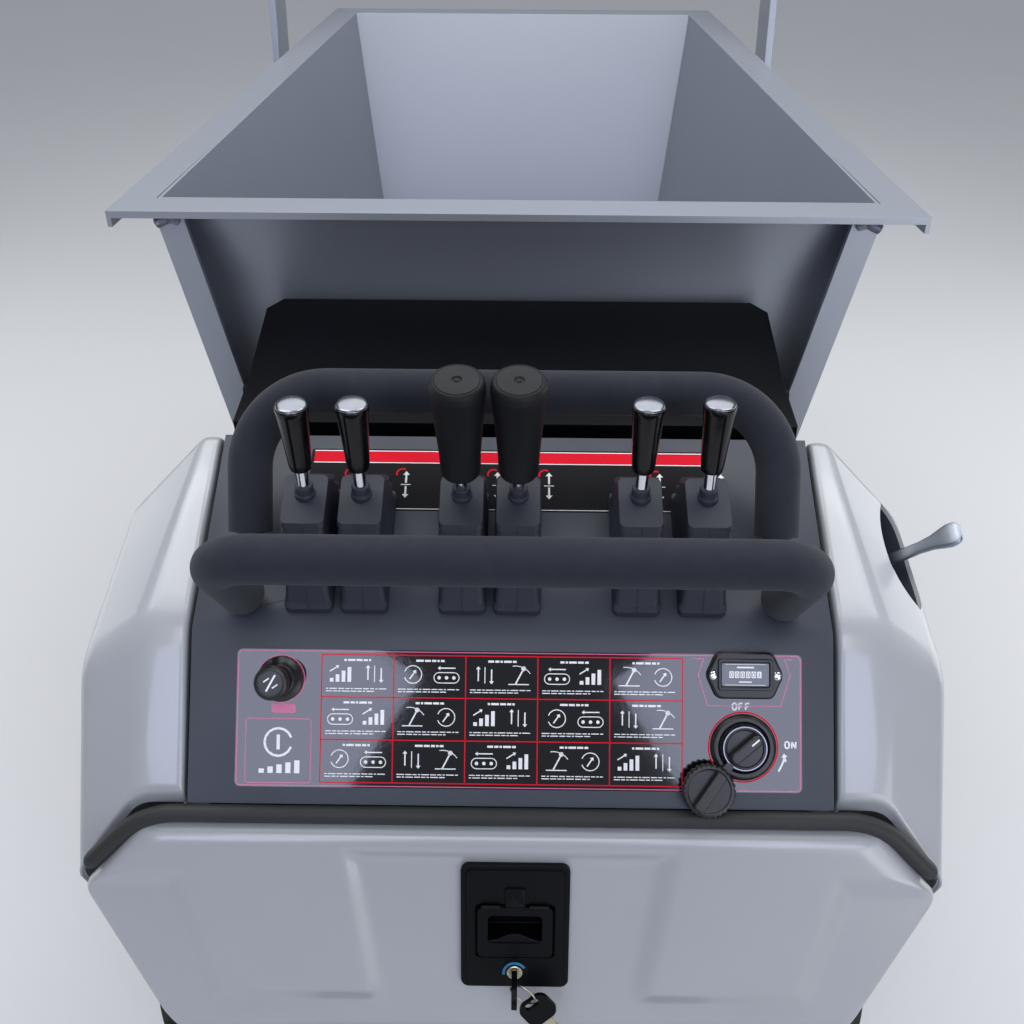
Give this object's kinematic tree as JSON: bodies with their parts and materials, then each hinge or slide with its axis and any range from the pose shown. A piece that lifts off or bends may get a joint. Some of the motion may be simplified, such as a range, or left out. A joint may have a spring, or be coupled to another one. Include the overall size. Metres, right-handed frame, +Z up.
{
  "type": "self-loading mini dumper",
  "caption": "Tracked mini dumper with a tipping skip, a self-loading shovel on two arms and an operator's console with levers and hand rails.",
  "frame": {"origin": "centre of the footprint on the ground", "axes": "+X to the operator's right, +Y forward towards the shovel, +Z up"},
  "size_m": [0.988, 2.4416, 1.8617],
  "materials": {
    "black_steel": "satin black paint",
    "foam": "closed-cell foam sleeve",
    "console_paint": "satin dark grey paint",
    "black_plastic": "black moulded plastic",
    "red_rubber_trim": "black rubber",
    "boot_rubber": "matte black rubber",
    "chrome_stem": "polished chrome",
    "knob_plastic": "glossy black plastic",
    "grip_rubber": "soft black rubber",
    "cast_block": "cast and machined",
    "frame_paint": "black chassis paint",
    "engine_metal": "cast aluminium",
    "hood_paint": "gloss black paint",
    "body_moulding": "glossy grey moulding",
    "cast_lever": "bare cast metal",
    "latch_plastic": "black moulded plastic",
    "seal_rubber": "black rubber strip",
    "skip_paint": "grey paint",
    "ram_paint": "black paint",
    "chrome_rod": "hard chrome",
    "belt_rubber": "black track rubber",
    "wheel_iron": "painted casting",
    "step_paint": "black paint with anti-slip ridges"
  },
  "bodies": {
    "chassis": {"chassis_frame": "frame_paint", "engine_bay": "frame_paint", "track_frames": "frame_paint", "right_belt": "belt_rubber", "left_belt": "belt_rubber", "travel_motors": "ram_paint", "engine": "engine_metal", "hydraulic_tank": "black_plastic", "valve_bank": "cast_block", "console_panel": "console_paint", "left_cowl": "body_moulding", "right_cowl": "body_moulding", "hood": "hood_paint", "rail_tubes": "black_steel", "rail_foam": "foam", "cover_seal": "seal_rubber", "hour_meter": "black_plastic", "ignition_switch": "black_plastic", "dust_cap": "black_plastic", "choke_collar": "red_rubber_trim", "lever_boots": "boot_rubber"},
    "skip": {"skip": "skip_paint"},
    "tip_barrel": {"tip_barrel": "ram_paint"},
    "tip_rod": {"tip_rod": "chrome_rod"},
    "loader_arms": {"loader_arms": "skip_paint"},
    "lift_barrels": {"lift_barrels": "ram_paint"},
    "lift_rods": {"lift_rods": "chrome_rod"},
    "shovel": {"shovel": "skip_paint"},
    "crowd_barrels": {"crowd_barrels": "ram_paint"},
    "crowd_rods": {"crowd_rods": "chrome_rod"},
    "left_outer_lever": {"left_outer_stem": "chrome_stem", "left_outer_knob": "knob_plastic"},
    "left_inner_lever": {"left_inner_stem": "chrome_stem", "left_inner_knob": "knob_plastic"},
    "left_drive_lever": {"left_drive_stem": "chrome_stem", "left_drive_grip": "grip_rubber"},
    "right_drive_lever": {"right_drive_stem": "chrome_stem", "right_drive_grip": "grip_rubber"},
    "right_inner_lever": {"right_inner_stem": "chrome_stem", "right_inner_knob": "knob_plastic"},
    "right_outer_lever": {"right_outer_stem": "chrome_stem", "right_outer_knob": "knob_plastic"},
    "throttle": {"throttle_lever": "cast_lever"},
    "choke": {"choke_knob": "black_plastic"},
    "ignition": {"ignition_knob": "black_plastic"},
    "cover": {"rear_cover": "body_moulding", "latch_plate": "latch_plastic"},
    "latch": {"latch_paddle": "latch_plastic"},
    "key": {"lock_key": "latch_plastic"},
    "step": {"step_platform": "step_paint"},
    "right_sprocket": {"right_sprocket": "wheel_iron"},
    "right_idler": {"right_idler": "wheel_iron"},
    "right_roller_1": {"right_roller_1": "wheel_iron"},
    "right_roller_2": {"right_roller_2": "wheel_iron"},
    "right_roller_3": {"right_roller_3": "wheel_iron"},
    "left_sprocket": {"left_sprocket": "wheel_iron"},
    "left_idler": {"left_idler": "wheel_iron"},
    "left_roller_1": {"left_roller_1": "wheel_iron"},
    "left_roller_2": {"left_roller_2": "wheel_iron"},
    "left_roller_3": {"left_roller_3": "wheel_iron"}
  },
  "joints": [
    {"name": "skip_tip", "type": "hinge", "parent": "chassis", "child": "skip", "pos_m": [0, 0.62916, 0.6], "axis": [-1, 0, 0], "range_deg": [0, 70]},
    {"name": "tip_barrel_turn", "type": "hinge", "parent": "chassis", "child": "tip_barrel", "pos_m": [0, 0.04317, 0.371], "axis": [-1, 0, 0], "range_deg": [-18.21, 0.5]},
    {"name": "tip_rod_slide", "type": "slide", "parent": "tip_barrel", "child": "tip_rod", "axis": [0, 0.8975, 0.441], "range_m": [-0.0005, 0.23719]},
    {"name": "loader_lift", "type": "hinge", "parent": "chassis", "child": "loader_arms", "pos_m": [0, 0.46416, 0.545], "axis": [-1, 0, 0], "range_deg": [-25, 76]},
    {"name": "lift_barrel_turn", "type": "hinge", "parent": "chassis", "child": "lift_barrels", "pos_m": [0, 0.40917, 0.596], "axis": [-1, 0, 0], "range_deg": [-24.18, 72.48]},
    {"name": "lift_rod_slide", "type": "slide", "parent": "lift_barrels", "child": "lift_rods", "axis": [0, 0.3954, 0.9185], "range_m": [-0.02966, 0.08913]},
    {"name": "shovel_tilt", "type": "hinge", "parent": "loader_arms", "child": "shovel", "pos_m": [0, 1.07316, 1.394], "axis": [-1, 0, 0], "range_deg": [-85, 30]},
    {"name": "crowd_barrel_turn", "type": "hinge", "parent": "loader_arms", "child": "crowd_barrels", "pos_m": [0, 0.74116, 1.3145], "axis": [-1, 0, 0], "range_deg": [-6.99, 2.79]},
    {"name": "crowd_rod_slide", "type": "slide", "parent": "crowd_barrels", "child": "crowd_rods", "axis": [0, 0.9995, -0.0323], "range_m": [-0.04447, 0.12507]},
    {"name": "left_outer_lever_swing", "type": "hinge", "parent": "chassis", "child": "left_outer_lever", "pos_m": [-0.195, -0.6558, 0.8828], "axis": [1, 0, 0], "range_deg": [-15, 15], "stiffness_Nm_per_rad": 15, "deforming": ["lever_boots"]},
    {"name": "left_inner_lever_swing", "type": "hinge", "parent": "chassis", "child": "left_inner_lever", "pos_m": [-0.142, -0.65785, 0.88256], "axis": [1, 0, 0], "range_deg": [-15, 15], "stiffness_Nm_per_rad": 15, "deforming": ["lever_boots"]},
    {"name": "left_drive_lever_swing", "type": "hinge", "parent": "chassis", "child": "left_drive_lever", "pos_m": [-0.048, -0.64767, 0.88409], "axis": [1, 0, 0], "range_deg": [-15, 15], "stiffness_Nm_per_rad": 15, "deforming": ["lever_boots"]},
    {"name": "right_drive_lever_swing", "type": "hinge", "parent": "chassis", "child": "right_drive_lever", "pos_m": [0.005, -0.64767, 0.88409], "axis": [1, 0, 0], "range_deg": [-15, 15], "stiffness_Nm_per_rad": 15, "deforming": ["lever_boots"]},
    {"name": "right_inner_lever_swing", "type": "hinge", "parent": "chassis", "child": "right_inner_lever", "pos_m": [0.119, -0.66195, 0.88221], "axis": [1, 0, 0], "range_deg": [-15, 15], "stiffness_Nm_per_rad": 15, "deforming": ["lever_boots"]},
    {"name": "right_outer_lever_swing", "type": "hinge", "parent": "chassis", "child": "right_outer_lever", "pos_m": [0.182, -0.66607, 0.88199], "axis": [1, 0, 0], "range_deg": [-15, 15], "stiffness_Nm_per_rad": 15, "deforming": ["lever_boots"]},
    {"name": "throttle_swing", "type": "hinge", "parent": "chassis", "child": "throttle", "pos_m": [0.33733, -0.59788, 0.84026], "axis": [-0.6881, -0.3067, 0.6577], "range_deg": [-20, 20]},
    {"name": "choke_pull", "type": "slide", "parent": "chassis", "child": "choke", "axis": [0, -0.7891, 0.6143], "range_m": [0, 0.032]},
    {"name": "ignition_turn", "type": "hinge", "parent": "chassis", "child": "ignition", "pos_m": [0.2194, -0.79484, 0.80024], "axis": [0, 0.7891, -0.6143], "range_deg": [0, 75]},
    {"name": "cover_open", "type": "hinge", "parent": "chassis", "child": "cover", "pos_m": [0, -0.85284, 0.446], "axis": [-1, 0, 0], "range_deg": [-75, 0]},
    {"name": "latch_lift", "type": "hinge", "parent": "cover", "child": "latch", "pos_m": [0.006, -0.8807, 0.67007], "axis": [-1, 0, 0], "range_deg": [0, 35], "stiffness_Nm_per_rad": 0.05},
    {"name": "key_turn", "type": "hinge", "parent": "cover", "child": "key", "pos_m": [0.006, -0.89647, 0.59917], "axis": [0, 0.9389, -0.3443], "range_deg": [0, 90]},
    {"name": "step_fold", "type": "hinge", "parent": "chassis", "child": "step", "pos_m": [0, -0.93083, 0.2], "axis": [-1, 0, 0], "range_deg": [0, 90]},
    {"name": "right_sprocket_spin", "type": "hinge", "parent": "chassis", "child": "right_sprocket", "pos_m": [0.355, -0.58083, 0.225], "axis": [1, 0, 0], "continuous": true},
    {"name": "right_idler_spin", "type": "hinge", "parent": "chassis", "child": "right_idler", "pos_m": [0.355, 0.55917, 0.205], "axis": [1, 0, 0], "continuous": true},
    {"name": "right_roller_1_spin", "type": "hinge", "parent": "chassis", "child": "right_roller_1", "pos_m": [0.355, -0.37084, 0.102], "axis": [1, 0, 0], "continuous": true},
    {"name": "right_roller_2_spin", "type": "hinge", "parent": "chassis", "child": "right_roller_2", "pos_m": [0.355, -0.01083, 0.102], "axis": [1, 0, 0], "continuous": true},
    {"name": "right_roller_3_spin", "type": "hinge", "parent": "chassis", "child": "right_roller_3", "pos_m": [0.355, 0.34917, 0.102], "axis": [1, 0, 0], "continuous": true},
    {"name": "left_sprocket_spin", "type": "hinge", "parent": "chassis", "child": "left_sprocket", "pos_m": [-0.355, -0.58083, 0.225], "axis": [1, 0, 0], "continuous": true},
    {"name": "left_idler_spin", "type": "hinge", "parent": "chassis", "child": "left_idler", "pos_m": [-0.355, 0.55917, 0.205], "axis": [1, 0, 0], "continuous": true},
    {"name": "left_roller_1_spin", "type": "hinge", "parent": "chassis", "child": "left_roller_1", "pos_m": [-0.355, -0.37084, 0.102], "axis": [1, 0, 0], "continuous": true},
    {"name": "left_roller_2_spin", "type": "hinge", "parent": "chassis", "child": "left_roller_2", "pos_m": [-0.355, -0.01083, 0.102], "axis": [1, 0, 0], "continuous": true},
    {"name": "left_roller_3_spin", "type": "hinge", "parent": "chassis", "child": "left_roller_3", "pos_m": [-0.355, 0.34917, 0.102], "axis": [1, 0, 0], "continuous": true}
  ],
  "couplings": [
    {"joint": "tip_barrel_turn", "follows": "skip_tip", "ratio": -0.253},
    {"joint": "tip_rod_slide", "follows": "skip_tip", "m_per_rad": 0.19373},
    {"joint": "lift_barrel_turn", "follows": "loader_lift", "ratio": 0.94716},
    {"joint": "lift_rod_slide", "follows": "loader_lift", "m_per_rad": 0.066821},
    {"joint": "crowd_barrel_turn", "follows": "shovel_tilt", "ratio": 0.076386},
    {"joint": "crowd_rod_slide", "follows": "shovel_tilt", "m_per_rad": -0.083968},
    {"joint": "right_idler_spin", "follows": "right_sprocket_spin", "ratio": 1},
    {"joint": "right_roller_1_spin", "follows": "right_sprocket_spin", "ratio": 2.3333},
    {"joint": "right_roller_2_spin", "follows": "right_sprocket_spin", "ratio": 2.3333},
    {"joint": "right_roller_3_spin", "follows": "right_sprocket_spin", "ratio": 2.3333},
    {"joint": "left_idler_spin", "follows": "left_sprocket_spin", "ratio": 1},
    {"joint": "left_roller_1_spin", "follows": "left_sprocket_spin", "ratio": 2.3333},
    {"joint": "left_roller_2_spin", "follows": "left_sprocket_spin", "ratio": 2.3333},
    {"joint": "left_roller_3_spin", "follows": "left_sprocket_spin", "ratio": 2.3333}
  ]
}
